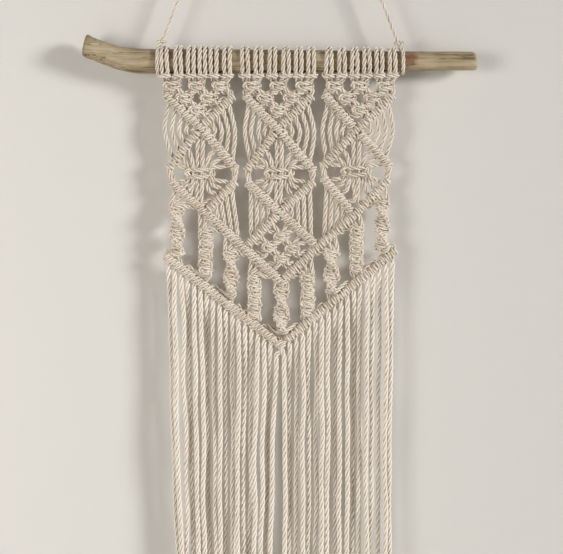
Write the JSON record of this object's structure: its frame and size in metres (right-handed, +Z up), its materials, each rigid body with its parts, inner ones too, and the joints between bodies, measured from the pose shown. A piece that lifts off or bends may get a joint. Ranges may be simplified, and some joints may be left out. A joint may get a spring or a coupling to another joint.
{
  "type": "macrame wall hanging",
  "caption": "Knotted cotton rope wall hanging with diamonds, sennits and a long fringe, tied on a bare branch and hung by one cord.",
  "frame": {"origin": "the point where the nail or hook holds the hanging cord's bight", "axes": "+X along the branch to the right as seen from the front, +Y towards the wall, +Z up"},
  "size_m": [0.3793, 0.0316, 0.8906],
  "materials": {
    "cotton_rope": "undyed three-ply cotton rope, matt and slightly fuzzy",
    "bare_wood": "debarked branch, dry and unvarnished, with long grain and small cracks"
  },
  "bodies": {
    "hanger": {"hanging_cord": "cotton_rope", "hanger_tie_left": "cotton_rope", "hanger_tie_right": "cotton_rope"},
    "branch": {"branch": "bare_wood"},
    "panel": {"heading_left": "cotton_rope", "lattice_left": "cotton_rope", "star_knot_left": "cotton_rope", "heading_middle": "cotton_rope", "lattice_middle": "cotton_rope", "star_knot_middle": "cotton_rope", "heading_right": "cotton_rope", "lattice_right": "cotton_rope", "star_knot_right": "cotton_rope", "centre_knots": "cotton_rope", "sennit_1": "cotton_rope", "sennit_2": "cotton_rope", "sennit_3": "cotton_rope", "sennit_4": "cotton_rope", "sennit_5": "cotton_rope", "sennit_6": "cotton_rope", "sennit_7": "cotton_rope", "sennit_8": "cotton_rope", "sennit_9": "cotton_rope", "lower_band": "cotton_rope"},
    "cord_01": {"fringe_01": "cotton_rope"},
    "cord_02": {"fringe_02": "cotton_rope"},
    "cord_03": {"fringe_03": "cotton_rope"},
    "cord_04": {"fringe_04": "cotton_rope"},
    "cord_05": {"fringe_05": "cotton_rope"},
    "cord_06": {"fringe_06": "cotton_rope"},
    "cord_07": {"fringe_07": "cotton_rope"},
    "cord_08": {"fringe_08": "cotton_rope"},
    "cord_09": {"fringe_09": "cotton_rope"},
    "cord_10": {"fringe_10": "cotton_rope"},
    "cord_11": {"fringe_11": "cotton_rope"},
    "cord_12": {"fringe_12": "cotton_rope"},
    "cord_13": {"fringe_13": "cotton_rope"},
    "cord_14": {"fringe_14": "cotton_rope"},
    "cord_15": {"fringe_15": "cotton_rope"},
    "cord_16": {"fringe_16": "cotton_rope"},
    "cord_17": {"fringe_17": "cotton_rope"},
    "cord_18": {"fringe_18": "cotton_rope"},
    "cord_19": {"fringe_19": "cotton_rope"},
    "cord_20": {"fringe_20": "cotton_rope"},
    "cord_21": {"fringe_21": "cotton_rope"},
    "cord_22": {"fringe_22": "cotton_rope"},
    "cord_23": {"fringe_23": "cotton_rope"},
    "cord_24": {"fringe_24": "cotton_rope"},
    "cord_25": {"fringe_25": "cotton_rope"},
    "cord_26": {"fringe_26": "cotton_rope"},
    "cord_27": {"fringe_27": "cotton_rope"},
    "cord_28": {"fringe_28": "cotton_rope"},
    "cord_29": {"fringe_29": "cotton_rope"},
    "cord_30": {"fringe_30": "cotton_rope"},
    "cord_31": {"fringe_31": "cotton_rope"},
    "cord_32": {"fringe_32": "cotton_rope"},
    "cord_33": {"fringe_33": "cotton_rope"},
    "cord_34": {"fringe_34": "cotton_rope"},
    "cord_35": {"fringe_35": "cotton_rope"},
    "cord_36": {"fringe_36": "cotton_rope"}
  },
  "joints": [
    {"name": "branch_roll", "type": "hinge", "parent": "hanger", "child": "branch", "pos_m": [0, 0, -0.3027], "axis": [1, 0, 0], "continuous": true},
    {"name": "panel_swing", "type": "hinge", "parent": "hanger", "child": "panel", "pos_m": [0, 0, -0.3027], "axis": [-1, 0, 0], "range_deg": [-5, 80]},
    {"name": "fringe_swing_01", "type": "hinge", "parent": "panel", "child": "cord_01", "pos_m": [-0.10762, 0, -0.49031], "axis": [-1, 0, 0], "range_deg": [-80, 80]},
    {"name": "fringe_swing_02", "type": "hinge", "parent": "panel", "child": "cord_02", "pos_m": [-0.10147, 0, -0.49513], "axis": [-1, 0, 0], "range_deg": [-80, 80]},
    {"name": "fringe_swing_03", "type": "hinge", "parent": "panel", "child": "cord_03", "pos_m": [-0.09532, 0, -0.49995], "axis": [-1, 0, 0], "range_deg": [-80, 80]},
    {"name": "fringe_swing_04", "type": "hinge", "parent": "panel", "child": "cord_04", "pos_m": [-0.08918, 0, -0.50477], "axis": [-1, 0, 0], "range_deg": [-80, 80]},
    {"name": "fringe_swing_05", "type": "hinge", "parent": "panel", "child": "cord_05", "pos_m": [-0.08303, 0, -0.5096], "axis": [-1, 0, 0], "range_deg": [-80, 80]},
    {"name": "fringe_swing_06", "type": "hinge", "parent": "panel", "child": "cord_06", "pos_m": [-0.07687, 0, -0.51442], "axis": [-1, 0, 0], "range_deg": [-80, 80]},
    {"name": "fringe_swing_07", "type": "hinge", "parent": "panel", "child": "cord_07", "pos_m": [-0.07072, 0, -0.51924], "axis": [-1, 0, 0], "range_deg": [-80, 80]},
    {"name": "fringe_swing_08", "type": "hinge", "parent": "panel", "child": "cord_08", "pos_m": [-0.06457, 0, -0.52407], "axis": [-1, 0, 0], "range_deg": [-80, 80]},
    {"name": "fringe_swing_09", "type": "hinge", "parent": "panel", "child": "cord_09", "pos_m": [-0.05842, 0, -0.52889], "axis": [-1, 0, 0], "range_deg": [-80, 80]},
    {"name": "fringe_swing_10", "type": "hinge", "parent": "panel", "child": "cord_10", "pos_m": [-0.05228, 0, -0.53371], "axis": [-1, 0, 0], "range_deg": [-80, 80]},
    {"name": "fringe_swing_11", "type": "hinge", "parent": "panel", "child": "cord_11", "pos_m": [-0.04612, 0, -0.53853], "axis": [-1, 0, 0], "range_deg": [-80, 80]},
    {"name": "fringe_swing_12", "type": "hinge", "parent": "panel", "child": "cord_12", "pos_m": [-0.03997, 0, -0.54335], "axis": [-1, 0, 0], "range_deg": [-80, 80]},
    {"name": "fringe_swing_13", "type": "hinge", "parent": "panel", "child": "cord_13", "pos_m": [-0.03383, 0, -0.54818], "axis": [-1, 0, 0], "range_deg": [-80, 80]},
    {"name": "fringe_swing_14", "type": "hinge", "parent": "panel", "child": "cord_14", "pos_m": [-0.02768, 0, -0.553], "axis": [-1, 0, 0], "range_deg": [-80, 80]},
    {"name": "fringe_swing_15", "type": "hinge", "parent": "panel", "child": "cord_15", "pos_m": [-0.02152, 0, -0.55782], "axis": [-1, 0, 0], "range_deg": [-80, 80]},
    {"name": "fringe_swing_16", "type": "hinge", "parent": "panel", "child": "cord_16", "pos_m": [-0.01537, 0, -0.56264], "axis": [-1, 0, 0], "range_deg": [-80, 80]},
    {"name": "fringe_swing_17", "type": "hinge", "parent": "panel", "child": "cord_17", "pos_m": [-0.00923, 0, -0.56747], "axis": [-1, 0, 0], "range_deg": [-80, 80]},
    {"name": "fringe_swing_18", "type": "hinge", "parent": "panel", "child": "cord_18", "pos_m": [-0.00308, 0, -0.57229], "axis": [-1, 0, 0], "range_deg": [-80, 80]},
    {"name": "fringe_swing_19", "type": "hinge", "parent": "panel", "child": "cord_19", "pos_m": [0.00308, 0, -0.57229], "axis": [-1, 0, 0], "range_deg": [-80, 80]},
    {"name": "fringe_swing_20", "type": "hinge", "parent": "panel", "child": "cord_20", "pos_m": [0.00923, 0, -0.56747], "axis": [-1, 0, 0], "range_deg": [-80, 80]},
    {"name": "fringe_swing_21", "type": "hinge", "parent": "panel", "child": "cord_21", "pos_m": [0.01537, 0, -0.56264], "axis": [-1, 0, 0], "range_deg": [-80, 80]},
    {"name": "fringe_swing_22", "type": "hinge", "parent": "panel", "child": "cord_22", "pos_m": [0.02152, 0, -0.55782], "axis": [-1, 0, 0], "range_deg": [-80, 80]},
    {"name": "fringe_swing_23", "type": "hinge", "parent": "panel", "child": "cord_23", "pos_m": [0.02768, 0, -0.553], "axis": [-1, 0, 0], "range_deg": [-80, 80]},
    {"name": "fringe_swing_24", "type": "hinge", "parent": "panel", "child": "cord_24", "pos_m": [0.03383, 0, -0.54818], "axis": [-1, 0, 0], "range_deg": [-80, 80]},
    {"name": "fringe_swing_25", "type": "hinge", "parent": "panel", "child": "cord_25", "pos_m": [0.03997, 0, -0.54335], "axis": [-1, 0, 0], "range_deg": [-80, 80]},
    {"name": "fringe_swing_26", "type": "hinge", "parent": "panel", "child": "cord_26", "pos_m": [0.04612, 0, -0.53853], "axis": [-1, 0, 0], "range_deg": [-80, 80]},
    {"name": "fringe_swing_27", "type": "hinge", "parent": "panel", "child": "cord_27", "pos_m": [0.05228, 0, -0.53371], "axis": [-1, 0, 0], "range_deg": [-80, 80]},
    {"name": "fringe_swing_28", "type": "hinge", "parent": "panel", "child": "cord_28", "pos_m": [0.05842, 0, -0.52889], "axis": [-1, 0, 0], "range_deg": [-80, 80]},
    {"name": "fringe_swing_29", "type": "hinge", "parent": "panel", "child": "cord_29", "pos_m": [0.06457, 0, -0.52407], "axis": [-1, 0, 0], "range_deg": [-80, 80]},
    {"name": "fringe_swing_30", "type": "hinge", "parent": "panel", "child": "cord_30", "pos_m": [0.07072, 0, -0.51924], "axis": [-1, 0, 0], "range_deg": [-80, 80]},
    {"name": "fringe_swing_31", "type": "hinge", "parent": "panel", "child": "cord_31", "pos_m": [0.07687, 0, -0.51442], "axis": [-1, 0, 0], "range_deg": [-80, 80]},
    {"name": "fringe_swing_32", "type": "hinge", "parent": "panel", "child": "cord_32", "pos_m": [0.08303, 0, -0.5096], "axis": [-1, 0, 0], "range_deg": [-80, 80]},
    {"name": "fringe_swing_33", "type": "hinge", "parent": "panel", "child": "cord_33", "pos_m": [0.08918, 0, -0.50477], "axis": [-1, 0, 0], "range_deg": [-80, 80]},
    {"name": "fringe_swing_34", "type": "hinge", "parent": "panel", "child": "cord_34", "pos_m": [0.09532, 0, -0.49995], "axis": [-1, 0, 0], "range_deg": [-80, 80]},
    {"name": "fringe_swing_35", "type": "hinge", "parent": "panel", "child": "cord_35", "pos_m": [0.10147, 0, -0.49513], "axis": [-1, 0, 0], "range_deg": [-80, 80]},
    {"name": "fringe_swing_36", "type": "hinge", "parent": "panel", "child": "cord_36", "pos_m": [0.10762, 0, -0.49031], "axis": [-1, 0, 0], "range_deg": [-80, 80]}
  ]
}
